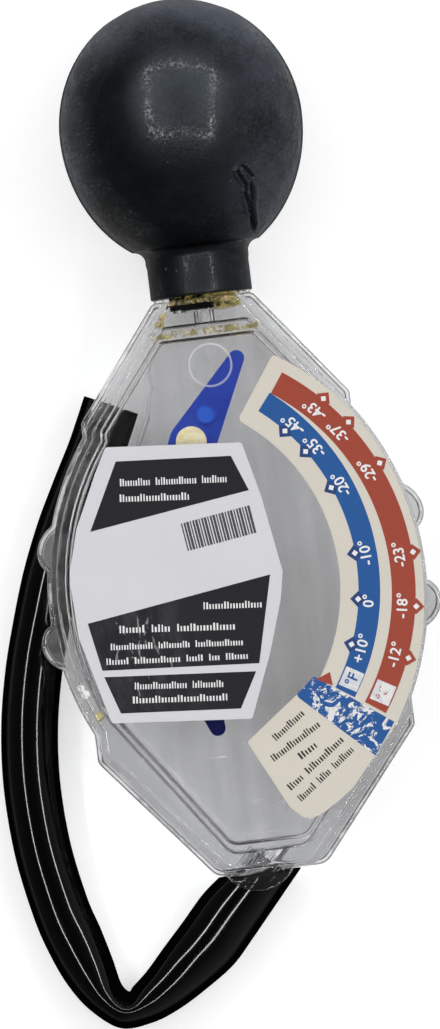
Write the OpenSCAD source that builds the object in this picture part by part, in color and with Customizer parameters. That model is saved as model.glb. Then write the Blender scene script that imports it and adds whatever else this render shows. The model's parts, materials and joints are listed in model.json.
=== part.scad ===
// Antifreeze tester: a squeeze bulb draws coolant through a hose into a flat clear chamber,
// where a weighted pointer swings over a printed freeze-point scale.
// X runs across the case, Y along it towards the bulb, and Z out of the front face.
// The drawing datum is on the middle line of the case, in the joint plane of its two shells.

/* [Case outline] */
// Height of the mouth edge above the datum
case_top = 51.5; // [50:0.1:54]
// Depth of the foot edge below the datum
case_foot = 79.3; // [78:0.1:84]
// Width of the case at its mouth edge
mouth_w = 22.8; // [21:0.1:26]
// Width across the two shoulders
shoulder_w = 61.4; // [59:0.1:63]
// Height of the shoulder corners above the datum
shoulder_y = 26.5; // [25.5:0.1:29]
// Width across the two hips
hip_w = 72.4; // [71:0.1:75]
// Depth of the hip corners below the datum
hip_y = 50.5; // [49.5:0.1:53]
// Width of the straight foot edge
foot_w = 25; // [22:0.1:28]
// Radius of the long side curves
side_r = 65.6; // [65:0.1:67]
// How far the centre of a side curve lies past the middle line
side_reach = 22.6; // [22:0.1:23.4]
// Depth of the side curves' centres below the datum
side_drop = 15; // [14:0.1:16]
// Radius of the rounded outline corners
corner_r = 2; // [1.6:0.1:3]
// Radius of the rounded corners at the foot
foot_corner_r = 4; // [2:0.1:5]

/* [Lobes] */
// How far the upper lobes stand out of the side curves
upper_lobe_h = 2.2; // [1:0.1:3]
// Half the length of an upper lobe
upper_lobe_w = 5.8; // [5:0.1:7]
// Depth of the upper lobes below the datum
upper_lobe_y = 0.4; // [0:0.1:2]
// How far the lower lobes stand out of the side curves
lower_lobe_h = 2.8; // [1:0.1:3.5]
// Half the length of a lower lobe
lower_lobe_w = 6.4; // [5:0.1:7]
// Depth of the lower lobes below the datum
lower_lobe_y = 23.2; // [21:0.1:25]

/* [Shell walls] */
// Half the thickness of the closed case
case_half = 9.5; // [9.3:0.1:12]
// Thickness of one shell's flange
flange_t = 2; // [1.5:0.1:3]
// Width of the raised rim on the front flange
rim_w = 1.2; // [0.8:0.1:1.5]
// Height of the raised rim on the front flange
rim_h = 0.8; // [0.4:0.1:1.5]
// Thickness of the front and back faces
face_t = 2; // [1.6:0.1:2.5]
// Thickness of the chamber walls
wall_t = 1.8; // [1.4:0.1:2.2]
// Distance of the raised face from the outline along the slopes
slope_step = 3.2; // [2.6:0.1:4]
// Distance of the raised face from the outline along the scale side
scale_step = 0.8; // [0.6:0.1:1.2]
// Distance of the raised face from the outline along the hose side
hose_step = 2.2; // [1.6:0.1:3]
// Distance of the raised face from the foot edge
foot_step = 1.6; // [1.2:0.1:2.4]
// Height of the low step round the raised face
ledge_h = 2.4; // [1:0.1:4]
// Width of the low step round the raised face
ledge_w = 1.3; // [0.6:0.1:1.5]
// Depth of the solid block at the mouth
mouth_block = 7.3; // [6.8:0.1:9]
// Depth of the solid block at the foot
foot_block = 6.2; // [5.8:0.1:8]
// Distance of the back shell's throat wall from the middle line
throat_left = 15.4; // [15.2:0.1:16.5]
// Distance of the moulded ring's centre below the mouth edge
ring_drop = 15.5; // [14:0.1:17]
// Radius of the moulded ring on the front face
ring_r = 5; // [4:0.1:6]
// Width of the moulded ring
ring_w = 0.7; // [0.4:0.1:1.2]
// Height of the moulded ring
ring_h = 0.3; // [0.2:0.1:0.6]

/* [Pointer] */
// Distance of the pivot to the left of the middle line
pivot_left = 20.5; // [20:0.1:21]
// Depth of the pivot below the datum
pivot_drop = 13; // [12.4:0.1:13.6]
// Distance from the pivot to the end of the pointer
tip_reach = 58.4; // [54:0.1:58.6]
// Radius of the pointer's tip
tip_r = 1.8; // [1.2:0.1:2.2]
// Clearance between the pointer's tip and the chamber's wall
tip_play = 1.1; // [0.8:0.1:1.4]
// Angle of the resting pointer from the case's length
rest_angle = 28; // [27:0.5:32]
// Distance from the pivot to the brass weight
weight_reach = 35.3; // [33:0.1:37]
// Angle of the weight behind the pointer's tip
weight_lag = 4.4; // [2:0.1:5]
// Radius of the round end that holds the weight
weight_eye_r = 5; // [4.4:0.1:5.2]
// Radius of the brass weight
weight_r = 3.5; // [2.5:0.1:3.8]
// Thickness of the pointer's arm
arm_t = 4; // [3:0.1:5]
// Floor left under the weight
pocket_floor = 1; // [0.6:0.1:1.4]
// Radius of the round boss beyond the weight
boss_r = 2.4; // [1.6:0.1:2.8]
// Height of the round boss above the arm
boss_h = 0.9; // [0.4:0.1:1.4]
// Distance from the weight to the round boss
boss_step = 7.4; // [6.6:0.1:9]
// Radius of the pointer's hub
hub_r = 5; // [4:0.1:5.5]
// Length of the pointer's hub
hub_len = 6; // [5:0.1:8]

/* [Pivot] */
// Radius of the pivot pin
pin_r = 1.5; // [1:0.05:2]
// Running clearance between the pin and the hub
pin_play = 0.05; // [0.03:0.01:0.09]
// Seating clearance between the pin and the bosses
pin_seat = 0.01; // [0.005:0.005:0.02]
// Radius of the bosses that carry the pin
pivot_boss_r = 3.6; // [3:0.1:4.5]
// End clearance between the hub and each boss
hub_play = 0.3; // [0.2:0.05:0.6]
// Depth of the pin in each boss
pin_grip = 3.2; // [2:0.1:4]

/* [Stop finger] */
// Distance of the finger's end to the left of the middle line
finger_left = 8.3; // [7:0.1:10]
// Depth of the finger's end below the datum
finger_drop = 45.8; // [44:0.1:48]
// Radius of the finger's end
finger_tip_r = 1.8; // [1.2:0.1:2.2]
// Distance from the finger's end to its root
finger_len = 15; // [13:0.1:16]
// Lean of the finger to the left of the case's length
finger_lean = 15; // [10:0.5:20]
// Radius of the finger's root
finger_root_r = 4; // [3:0.1:4.4]
// Radius of the post under the finger's root
finger_post_r = 2.6; // [2:0.1:3]

/* [Bulb] */
// Radius of the bulb across the case
bulb_r = 27.25; // [25:0.05:30]
// Length of the bulb's upper half along the case
bulb_long_r = 29; // [27:0.1:31]
// Length of the bulb's lower half along the case, if it ran on to a point
bulb_low_r = 31.8; // [30:0.1:33]
// Height of the bulb's centre above the mouth edge
bulb_rise = 39.2; // [38:0.1:42]
// Thickness of the bulb's rubber
bulb_t = 2.8; // [2:0.1:3.5]
// Radius of the bulb's collar
collar_r = 11.6; // [11:0.1:13]
// Radius of the hollow blend between the collar and the bulb
collar_blend = 2.4; // [1.6:0.1:3]
// Radius of the bulb's stem in the mouth
stem_r = 7.5; // [6.5:0.1:7.6]
// Length of the bulb's stem in the mouth
stem_len = 2.4; // [2:0.1:3.2]
// Radius of the air passage through the stem
stem_bore_r = 4.5; // [3.5:0.1:5]
// Thickness of the cement round the stem
cement_t = 0.3; // [0.2:0.05:0.4]
// Thickness of the cement under the collar
cement_bed = 0.6; // [0.3:0.1:1]
// Width of the cement fillet at the stem's end
fillet_w = 1; // [0.6:0.1:1.4]
// How far the cement runs down the mouth
cement_reach = 6.9; // [6.4:0.1:7.1]

/* [Hose and nozzle] */
// Angle of the nozzle from the case's length
nozzle_angle = 42.5; // [41:0.5:45]
// Distance of the nozzle's middle to the left at the foot edge
nozzle_left = 2.8; // [2.4:0.1:3.6]
// Outer radius of the nozzle
nozzle_r = 5.3; // [4.8:0.1:5.4]
// Radius of the nozzle's bore
nozzle_bore_r = 3.5; // [3:0.1:3.8]
// Length of the nozzle outside the foot
nozzle_out = 15; // [12:0.1:18]
// Height of the barb on the nozzle's end
barb_h = 0.3; // [0.2:0.05:0.35]
// Length of the barb on the nozzle's end
barb_len = 3; // [2:0.1:4]
// Seating clearance round the nozzle in the foot
nozzle_seat = 0.05; // [0.02:0.01:0.1]
// Clearance between the nozzle and the hose stretched over it
hose_fit = 0.35; // [0.25:0.05:0.45]
// Gap between the hose's end and the foot edge
hose_end_gap = 0.3; // [0.2:0.1:0.6]
// Thickness of the hose's wall
hose_wall = 1.6; // [1.3:0.1:1.7]
// Radius of the hose on its free run
hose_r = 6.5; // [6.2:0.1:6.8]
// Gap between the hose and what it lies beside
hose_gap = 0.8; // [0.5:0.1:1.2]
// Reach of the hood over the hose's end
hood_reach = 4; // [2:0.1:5]
// Radius of the hood's round edge
hood_r = 9; // [8:0.1:10]

/* [Labels] */
// Thickness of the labels
label_t = 0.15; // [0.1:0.05:0.3]
// Inner radius of the scale label about the pivot
scale_in_r = 43.8; // [42:0.1:46]
// Distance of the scale label from the side outline
scale_margin = 1; // [0.9:0.1:1.6]
// Angle where the scale label starts
scale_from = 35; // [34:0.5:38]
// Angle where the scale label meets its flap
scale_to = 124; // [120:0.5:126]
// Outer radius of the scale label where it starts
scale_start_r = 60.6; // [59:0.1:61]
// Growth of the scale label's outer radius for each degree
scale_growth = 0.06; // [0.04:0.01:0.08]
// Radius of the labels' small corners
label_corner_r = 0.8; // [0.4:0.1:1.2]
// Radius of the scale label's inner corner
scale_corner_r = 1.8; // [1:0.1:2.4]
// Radius of the round corner of the scale label's flap
flap_r = 3; // [2:0.1:3.6]

/* [Hidden] */
$fn = 64;
// Steps on a side curve, a rounded corner and the scale's arc
side_steps = 44;
corner_steps = 5;
scale_steps = 24;
// Share of an edge that one rounded corner may take up
edge_share = 0.45;
// Least sine of a mitred corner, and least step left beside a ledge
least_mitre = 0.3;
least_step = 0.2;
// How far a cut runs past what it cuts
past = 1;
clear_blue = [0.10, 0.16, 0.55];
clear_grey = [0.86, 0.88, 0.90, 0.35];

// Places worked out from the sizes above
pivot = [-pivot_left, -pivot_drop];
bulb_y = case_top + bulb_rise;
bulb_top = bulb_y + bulb_long_r;
nozzle_dir = [-sin(nozzle_angle), -cos(nozzle_angle)];
nozzle_foot = [-nozzle_left, -case_foot];
nozzle_end = nozzle_foot + nozzle_out * nozzle_dir;
nozzle_low = nozzle_end.y - nozzle_r * sin(nozzle_angle);
middle_y = (bulb_top + nozzle_low) / 2;
inner_half = case_half - face_t;
sweep_r = tip_reach + tip_play;
arm_half = arm_t / 2;
hub_half = hub_len / 2;
boss_end = hub_half + hub_play;
pin_half = boss_end + pin_grip;
mouth_r = stem_r + cement_t;
stretch_r = nozzle_r + barb_h + hose_fit + hose_wall;
hose_end_w = (nozzle_r + hose_fit) / cos(nozzle_angle) + hose_wall;
socket_in = 2 * foot_block;
socket_out = nozzle_r;
tip_centre = pivot + (tip_reach - tip_r) * [sin(rest_angle), cos(rest_angle)];
weight_angle = rest_angle - weight_lag;
weight_at = pivot + weight_reach * [sin(weight_angle), cos(weight_angle)];
boss_at = weight_at + boss_step * (tip_centre - weight_at) / norm(tip_centre - weight_at);
finger_tip = [-finger_left, -finger_drop];
finger_root = finger_tip + finger_len * [-sin(finger_lean), cos(finger_lean)];

// The hose's middle line: X, Y, Z, then its half width and half height at that point.
// It is stretched over the nozzle, folds flat at the kink and tucks in behind the flange.
hose_tail = [
    [-16.4, -94.1, 0, stretch_r, stretch_r],
    [-22, -98.8, 0.2, 6.8, 7.3],
    [-27.8, -103.3, 0.6, 5.7, 7.3],
    [-32.8, -106, 1, 4.7, 7.5],
    [-37, -106.7, 1.2, 4.3, 7.7],
    [-41, -103.2, 0.6, 4.7, 7.3],
    [-43.8, -97.4, -0.4, 5.9, 6.9],
    [-46.4, -90, -1.5, hose_r, hose_r],
    [-48.8, -82, -2.4, hose_r, hose_r],
    [-51.2, -68.5, -3.8, hose_r, hose_r],
    [-51.9, -54, -5.3, hose_r, hose_r],
    [-50.9, -41, -6.7, hose_r, hose_r],
    [-48.6, -29, -8.1, hose_r, hose_r],
    [-45.6, -18.5, -9, hose_r, hose_r],
    [-41.9, -7.5, -9.1, hose_r, hose_r],
    [-37.6, 2.5, -9.1, hose_r, hose_r],
    [-32.9, 11.5, -9.1, hose_r, hose_r],
    [-28, 20.5, -9.1, hose_r, hose_r],
    [-23.5, 30, -9.1, hose_r, hose_r]];
tucked_from = 12;

// Corners of the scale label's flap, and the outline of the centre label
scale_flap = [[26.3, -56.1], [17.5, -66], [11.2, -70.6], [5.8, -65.5], [-2.1, -49.6], [10.1, -40.5]];
centre_edge = [
    [-25.8, 20.4], [4.9, 17.8], [7.8, 5.3], [10.6, -12.2], [9.4, -18.4], [5.5, -30.3], [-0.3, -44.5],
    [-31.9, -41.7], [-37, -21.5], [-37.4, -9.2], [-37.1, -6.4], [-34.5, 2.9], [-28.7, 15]];

// Point where two lines meet, each given by a point and a direction
function meet(p, d, q, e) =
    let (t = ((q.x - p.x) * e.y - (q.y - p.y) * e.x) / (d.x * e.y - d.y * e.x)) p + t * d;
function unit(v) = v / norm(v);
function left_of(d) = [-d.y, d.x];
function smooth(t) = let (c = max(0, min(1, t))) c * c * (3 - 2 * c);
function lobe(y, at, w, h) = h * smooth(1.5 * (1 - abs(y + at) / w));
function lobes(y) = lobe(y, upper_lobe_y, upper_lobe_w, upper_lobe_h)
                  + lobe(y, lower_lobe_y, lower_lobe_w, lower_lobe_h);
function side_x(y, inset) = -side_reach + sqrt(pow(side_r - inset, 2) - pow(y + side_drop, 2));
function side_y(x, inset, way) = -side_drop + way * sqrt(pow(side_r - inset, 2) - pow(x + side_reach, 2));

// Arc of points that rounds the corner at b with radius r, or less where its edges are short
function round_corner(a, b, c, r) =
    let (d = unit(a - b), e = unit(c - b), half = acos(max(-1, min(1, d * e))) / 2)
    let (reach = min(r / tan(half), edge_share * min(norm(a - b), norm(c - b))), s = reach * tan(half))
    let (o = b + unit(d + e) * (s / sin(half)), p = b + d * reach, q = b + e * reach)
    let (a0 = atan2(p.y - o.y, p.x - o.x), a1 = atan2(q.y - o.y, q.x - o.x))
    let (turn = a1 - a0 > 180 ? a1 - a0 - 360 : a1 - a0 < -180 ? a1 - a0 + 360 : a1 - a0)
    [for (i = [0:corner_steps]) let (g = a0 + turn * i / corner_steps) o + s * [cos(g), sin(g)]];

// Closed path of corners X, Y and radius, with each corner rounded by its radius
function flat(p) = [p.x, p.y];
function rounded(path) =
    let (n = len(path))
    [for (i = [0:n - 1]) each path[i].z > 0
        ? round_corner(flat(path[(i + n - 1) % n]), flat(path[i]), flat(path[(i + 1) % n]), path[i].z)
        : [flat(path[i])]];

// Closed path moved inwards by d; the path runs clockwise
function inset_path(path, d) =
    let (n = len(path))
    [for (i = [0:n - 1])
        let (u = unit(path[i] - path[(i + n - 1) % n]), v = unit(path[(i + 1) % n] - path[i]))
        let (m = unit(-left_of(u) - left_of(v)))
        path[i] + m * d / max(least_mitre, m * -left_of(u))];

// Where a line from p along d leaves the inset side curve
function leaves_side(p, d, inset) =
    let (f = p + [side_reach, side_drop], b = f * d)
    p + d * (sqrt(b * b - f * f + pow(side_r - inset, 2)) - b);
function corner(p, r) = [p.x, p.y, r];

// Right half of the case plan from the mouth to the foot, with its own inset on each edge.
// A shoulder or hip that its insets swallow is left out, and the slope runs on to the side curve.
function half_plan(top, slope, side, low, foot, bumps) =
    let (a = [mouth_w / 2, case_top], b = [shoulder_w / 2, shoulder_y], d = unit(b - a))
    let (i = [hip_w / 2, -hip_y], j = [foot_w / 2, -case_foot], e = unit(i - j))
    let (p = a + slope * [d.y, -d.x], q = j + low * [-e.y, e.x])
    let (shoulder = meet(p, d, [b.x - side, 0], [0, 1]), hip = meet(q, e, [i.x - side, 0], [0, 1]))
    let (under = side_y(b.x - side, side, 1), over = side_y(i.x - side, side, -1))
    let (square = shoulder.y > under, low_square = hip.y < over)
    let (y0 = square ? under : leaves_side(p, d, side).y)
    let (y1 = low_square ? over : leaves_side(q, e, side).y)
    concat(
        [corner(meet(p, d, [0, case_top - top], [1, 0]), corner_r)],
        square ? [corner(shoulder, corner_r)] : [],
        [for (k = [0:side_steps])
            let (y = y0 + (y1 - y0) * k / side_steps) [side_x(y, side) + bumps * lobes(y), y, 0]],
        low_square ? [corner(hip, corner_r)] : [],
        [corner(meet(q, e, [0, foot - case_foot], [1, 0]), foot_corner_r)]);
function mirrored(path) = [for (p = reversed(path)) [-p.x, p.y, p.z]];
function reversed(list) = [for (k = [len(list) - 1:-1:0]) list[k]];
function plan(right, left) = rounded(concat(right, mirrored(left)));

outline_half = half_plan(0, 0, 0, 0, 0, 1);
outline = plan(outline_half, outline_half);
function face_plan(out) =
    let (slope = slope_step - out, foot = foot_step - out)
    plan(half_plan(0, slope, max(least_step, scale_step - out), slope, foot, 0),
         half_plan(0, slope, max(least_step, hose_step - out), slope, foot, 0));
cavity =
    let (slope = slope_step + wall_t)
    plan(half_plan(mouth_block, slope, scale_step + wall_t, slope, foot_block, 0),
         half_plan(mouth_block, slope, hose_step + wall_t, foot_block, foot_block, 0));

// Edge of the bay that the hose lies in, beside the back shell's raised part
hose_way = [for (k = [tucked_from:len(hose_tail) - 1]) [hose_tail[k].x, hose_tail[k].y]];
function bay_edge(out) = [for (k = [0:len(hose_way) - 1])
    let (a = hose_way[max(0, k - 1)], b = hose_way[min(len(hose_way) - 1, k + 1)])
    hose_way[k] - (hose_r + hose_gap + out) * left_of(unit(b - a))];
function bay(out) =
    let (edge = bay_edge(out), top = edge[len(edge) - 1], clear_of = -shoulder_w)
    concat(
        [[clear_of, -hip_y]],
        [edge[0] - [hose_r, 2 * hose_r]],
        edge,
        [[max(top.x, out - throat_left), top.y + hose_r]],
        [[max(top.x, out - throat_left), case_top + past]],
        [[clear_of, case_top + past]]);

module slab(path, from, to) {
    translate([0, 0, from]) linear_extrude(to - from) polygon(path);
}

// Two discs and the band between their outer tangents
module strut(a, ra, b, rb, from, to) {
    along = atan2(b.y - a.y, b.x - a.x);
    lean = acos((ra - rb) / norm(b - a));
    up = [cos(along + lean), sin(along + lean)];
    down = [cos(along - lean), sin(along - lean)];
    translate([a.x, a.y, from]) cylinder(r = ra, h = to - from);
    translate([b.x, b.y, from]) cylinder(r = rb, h = to - from);
    slab([a + ra * up, b + rb * up, b + rb * down, a + ra * down], from, to);
}

module post(at, r, from, to) {
    translate([at.x, at.y, from]) cylinder(r = r, h = to - from);
}

// Turns a shape drawn along +Z so that it lies along the case, pointing to the bulb
module along_case(y) {
    translate([0, y, 0]) rotate([-90, 0, 0]) children();
}

module along_nozzle() {
    translate([nozzle_foot.x, nozzle_foot.y, 0])
        rotate([0, 0, -nozzle_angle])
        rotate([90, 0, 0]) children();
}

// Puts the drawing in the part's own frame: under the middle of the part, on its lowest point
module placed() {
    translate([0, -middle_y, bulb_r]) children();
}

// Round holes for the bulb's stem and for the nozzle
module sockets() {
    along_case(case_top - mouth_block - past) cylinder(r = mouth_r, h = mouth_block + 2 * past);
    along_nozzle() translate([0, 0, -socket_in])
        cylinder(r = nozzle_r + nozzle_seat, h = socket_in + socket_out);
}

module chamber(path, from, to) {
    intersection() {
        slab(path, from, to);
        post(pivot, sweep_r, from - past, to + past);
    }
}

module front_shell() {
    color(clear_grey) placed() {
        difference() {
            union() {
                slab(outline, 0, flange_t);
                difference() {
                    slab(outline, flange_t, flange_t + rim_h);
                    slab(inset_path(outline, rim_w), flange_t - past, flange_t + rim_h + past);
                }
                slab(face_plan(ledge_w), 0, flange_t + ledge_h);
                slab(face_plan(0), 0, case_half);
                hood();
                moulded_ring();
            }
            chamber(cavity, -past, inner_half);
            sockets();
        }
        difference() {
            post(pivot, pivot_boss_r, boss_end, inner_half);
            post(pivot, pin_r + pin_seat, boss_end - past, pin_half);
        }
    }
}

// Small round-edged hood of the front shell over the end of the hose
module hood() {
    intersection() {
        translate([nozzle_foot.x, hood_r - case_foot - hood_reach, hose_r + hose_wall])
            cylinder(r = hood_r, h = case_half - hose_r - hose_wall);
        translate([nozzle_foot.x - hood_r, -case_foot - hood_reach, 0])
            cube([hood_r * 2, hood_reach + foot_step + past, case_half]);
    }
}

// Plain raised ring on the front face, below the mouth
module moulded_ring() {
    at = [0, case_top - ring_drop];
    difference() {
        post(at, ring_r, inner_half, case_half + ring_h);
        post(at, ring_r - ring_w, case_half, case_half + ring_h + past);
    }
}

module back_shell() {
    color(clear_grey) placed() {
        difference() {
            union() {
                slab(outline, -flange_t, 0);
                difference() {
                    slab(face_plan(0), -case_half, 0);
                    slab(bay(0), -case_half - past, -flange_t);
                }
            }
            difference() {
                chamber(cavity, -inner_half, past);
                slab(bay(wall_t), -case_half, 2 * past);
            }
            sockets();
        }
        difference() {
            post(pivot, pivot_boss_r, -inner_half, -boss_end);
            post(pivot, pin_r + pin_seat, -pin_half, -boss_end + past);
        }
    }
}

module pivot_pin() {
    color("silver") placed() post(pivot, pin_r, -pin_half, pin_half);
}

module pointer_arm() {
    color(clear_blue) placed() difference() {
        union() {
            strut(weight_at, weight_eye_r, tip_centre, tip_r, -arm_half, arm_half);
            strut(pivot, hub_r, weight_at, weight_eye_r, -arm_half, arm_half);
            strut(pivot, hub_r, tip_centre, tip_r, -arm_half, arm_half);
            post(boss_at, boss_r, 0, arm_half + boss_h);
            post(pivot, hub_r, -hub_half, hub_half);
        }
        post(weight_at, weight_r, pocket_floor - arm_half, arm_half + past);
        post(pivot, pin_r + pin_play, -hub_half - past, hub_half + past);
    }
}

module brass_weight() {
    color("gold") placed() post(weight_at, weight_r, pocket_floor - arm_half, arm_half);
}

module stop_finger() {
    color(clear_blue) placed() {
        strut(finger_root, finger_root_r, finger_tip, finger_tip_r, -arm_half, arm_half);
        post(finger_root, finger_post_r, -inner_half, 0);
    }
}

// Half section of the bulb, from its crown down to its stem; X is the radius, Y the height
bulb_steps = 30;
blend_steps = 6;
function bulb_arc(r, wall, to) = [for (k = [0:bulb_steps])
    let (t = k * to / bulb_steps, long_r = t < 90 ? bulb_long_r : bulb_low_r)
    [r * sin(t), (long_r - wall) * cos(t)]];
function bulb_outer() =
    let (a = asin((collar_r + collar_blend) / bulb_r), low = -bulb_low_r * cos(a) - collar_blend)
    concat(
        bulb_arc(bulb_r, 0, 180 - a),
        [for (k = [1:blend_steps]) let (t = 90 * k / blend_steps)
            [collar_r + collar_blend * (1 - sin(t)), low + collar_blend * cos(t)]]);
function bulb_inner() =
    let (r = bulb_r - bulb_t, a = asin((stem_bore_r + bulb_t) / r))
    bulb_arc(r, bulb_t, 180 - a);

module squeeze_bulb() {
    seat = cement_bed - bulb_rise;
    color([0.07, 0.07, 0.08]) placed() along_case(bulb_y) rotate_extrude() polygon(concat(
        bulb_outer(),
        [[collar_r, seat]],
        [[stem_r, seat]],
        [[stem_r, -bulb_rise - stem_len]],
        [[stem_bore_r, -bulb_rise - stem_len]],
        reversed(bulb_inner())));
}

module bulb_cement() {
    color("goldenrod") placed() along_case(case_top) rotate_extrude() polygon([
        [stem_r, cement_bed],
        [collar_r - cement_t, cement_bed],
        [collar_r - cement_t * 2, 0],
        [mouth_r, 0],
        [mouth_r, -cement_reach],
        [mouth_r - fillet_w, -cement_reach],
        [stem_r, fillet_w - cement_reach],
        [stem_r, -stem_len - cement_bed * 2],
        [stem_bore_r + fillet_w, -stem_len - cement_bed],
        [stem_bore_r, -stem_len],
        [stem_r, -stem_len]]);
}

module hose_nozzle() {
    root = foot_block / cos(nozzle_angle) - nozzle_r * tan(nozzle_angle);
    color(clear_grey) placed() along_nozzle() difference() {
        union() {
            translate([0, 0, -root]) cylinder(r = nozzle_r, h = root + nozzle_out);
            translate([0, 0, nozzle_out - barb_len])
                cylinder(r1 = nozzle_r + barb_h, r2 = nozzle_r, h = barb_len);
        }
        translate([0, 0, -root - past]) cylinder(r = nozzle_bore_r, h = root + nozzle_out + 2 * past);
    }
}

// Hose rings: the first lies flat on the foot, the rest stand square to the middle line
hose_sides = 12;
hose_grip = nozzle_foot + (nozzle_out - barb_len) * nozzle_dir;
hose_line = concat(
    [[nozzle_foot.x, nozzle_foot.y - hose_end_gap, 0, hose_end_w, stretch_r]],
    [[hose_grip.x, hose_grip.y, 0, stretch_r, stretch_r]],
    hose_tail);
function spot(k) = [hose_line[k].x, hose_line[k].y, hose_line[k].z];
function hose_ring(k, inner) =
    let (last = len(hose_line) - 1, t = unit(spot(min(last, k + 1)) - spot(max(0, k - 1))))
    let (across = k == 0 ? [1, 0, 0] : unit([-t.y, t.x, 0]))
    let (up = k == 0 ? [0, 0, 1] : cross(t, across))
    let (w = hose_line[k][3] - inner * hose_wall, h = hose_line[k][4] - inner * hose_wall)
    [for (i = [0:hose_sides - 1]) let (g = 360 * (i + 0.5) / hose_sides)
        spot(k) + w * cos(g) * across + h * sin(g) * up];

module suction_hose() {
    n = hose_sides;
    m = len(hose_line);
    points = [for (inner = [0, 1], k = [0:m - 1]) each hose_ring(k, inner)];
    base = n * m;
    tops = n * (m - 1);
    faces = concat(
        [for (k = [0:m - 2], i = [0:n - 1]) let (j = (i + 1) % n, b = k * n)
            each [[b + i, b + n + j, b + j], [b + i, b + n + i, b + n + j]]],
        [for (k = [0:m - 2], i = [0:n - 1]) let (j = (i + 1) % n, b = base + k * n)
            each [[b + i, b + j, b + n + j], [b + i, b + n + j, b + n + i]]],
        [for (i = [0:n - 1]) let (j = (i + 1) % n)
            each [[i, j, base + j], [i, base + j, base + i]]],
        [for (i = [0:n - 1]) let (j = (i + 1) % n)
            each [[tops + i, base + tops + j, tops + j], [tops + i, base + tops + i, base + tops + j]]]);
    color([0.04, 0.04, 0.045]) placed() polyhedron(points, faces);
}

function from_pivot(r, a) = pivot + r * [sin(a), cos(a)];
// Reach from the pivot to the side outline in a direction
function side_from_pivot(a) =
    let (g = pivot + [side_reach, side_drop], b = g * [sin(a), cos(a)])
    -b + sqrt(b * b - g * g + side_r * side_r);

module scale_label() {
    angles = [for (k = [0:scale_steps]) scale_from + (scale_to - scale_from) * k / scale_steps];
    flap_radii = [label_corner_r, 0, flap_r, 0, label_corner_r, 0];
    edge = concat(
        [for (a = angles)
            let (spread_r = scale_start_r + (a - scale_from) * scale_growth)
            let (r = min(spread_r, side_from_pivot(a) - scale_margin))
            corner(from_pivot(r, a), a == scale_from ? label_corner_r : 0)],
        [for (k = [0:len(scale_flap) - 1]) corner(scale_flap[k], flap_radii[k])],
        [for (a = reversed(angles))
            corner(from_pivot(scale_in_r, a), a == scale_from ? scale_corner_r : 0)]);
    color([0.88, 0.85, 0.79]) placed() slab(rounded(edge), case_half, case_half + label_t);
}

module centre_label() {
    edge = rounded([for (p = centre_edge) corner(p, label_corner_r)]);
    color([0.92, 0.92, 0.94]) placed() slab(edge, case_half, case_half + label_t);
}

front_shell();
back_shell();
pivot_pin();
pointer_arm();
brass_weight();
stop_finger();
squeeze_bulb();
bulb_cement();
hose_nozzle();
suction_hose();
scale_label();
centre_label();
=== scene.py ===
import json
from math import asin, atan2, cos, exp, hypot, pi, radians, sin, tan

import bmesh
import bpy
from mathutils import Matrix, Vector
from mathutils.noise import noise


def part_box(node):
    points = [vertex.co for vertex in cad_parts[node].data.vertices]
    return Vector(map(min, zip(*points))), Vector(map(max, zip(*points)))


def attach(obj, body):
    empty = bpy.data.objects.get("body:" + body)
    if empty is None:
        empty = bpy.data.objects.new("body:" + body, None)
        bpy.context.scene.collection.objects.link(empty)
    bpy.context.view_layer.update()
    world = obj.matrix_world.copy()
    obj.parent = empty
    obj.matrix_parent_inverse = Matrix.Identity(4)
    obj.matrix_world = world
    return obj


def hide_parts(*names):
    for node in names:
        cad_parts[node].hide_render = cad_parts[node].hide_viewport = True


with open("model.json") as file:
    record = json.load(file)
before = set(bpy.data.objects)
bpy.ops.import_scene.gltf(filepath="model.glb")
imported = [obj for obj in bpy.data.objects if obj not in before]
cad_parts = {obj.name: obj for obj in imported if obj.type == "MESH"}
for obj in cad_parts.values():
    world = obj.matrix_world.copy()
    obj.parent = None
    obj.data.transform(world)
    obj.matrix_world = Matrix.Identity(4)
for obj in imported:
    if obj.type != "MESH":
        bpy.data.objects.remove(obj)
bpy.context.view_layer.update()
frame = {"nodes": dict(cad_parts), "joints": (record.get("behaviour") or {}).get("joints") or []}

# Camera: the tester lies on its back and is seen from straight above, turned a little clockwise.
# A long lens far off keeps the sides of the case upright.
pivot_off = Vector((0.0205, 0.013, 0))
datum = Vector(frame["joints"][0]["pos_m"]) + pivot_off
face_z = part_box("scale_label")[0].z
lean = radians(-7)
camera_height = 2.0
seen_length = 0.2325
sensor = 36
aim = (-1.91, 2.19)


def at(u, v, z=0.0):
    """A point of the case's drawing, in millimetres from its middle, as a place in the frame."""
    return datum + Vector((u, v, z)) / 1000


def placed(name, data):
    """A new object of the scene."""
    made = bpy.data.objects.new(name, data)
    bpy.context.scene.collection.objects.link(made)
    return made


camera = placed("camera", bpy.data.cameras.new("camera"))
camera.data.sensor_fit = "VERTICAL"
camera.data.sensor_height = sensor
camera.data.lens = sensor * camera_height / seen_length
camera.location = at(*aim)
camera.location.z = face_z + camera_height
camera.rotation_euler = (0, 0, lean)
bpy.context.scene.camera = camera
bpy.context.scene.view_settings.view_transform = "Standard"

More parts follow.
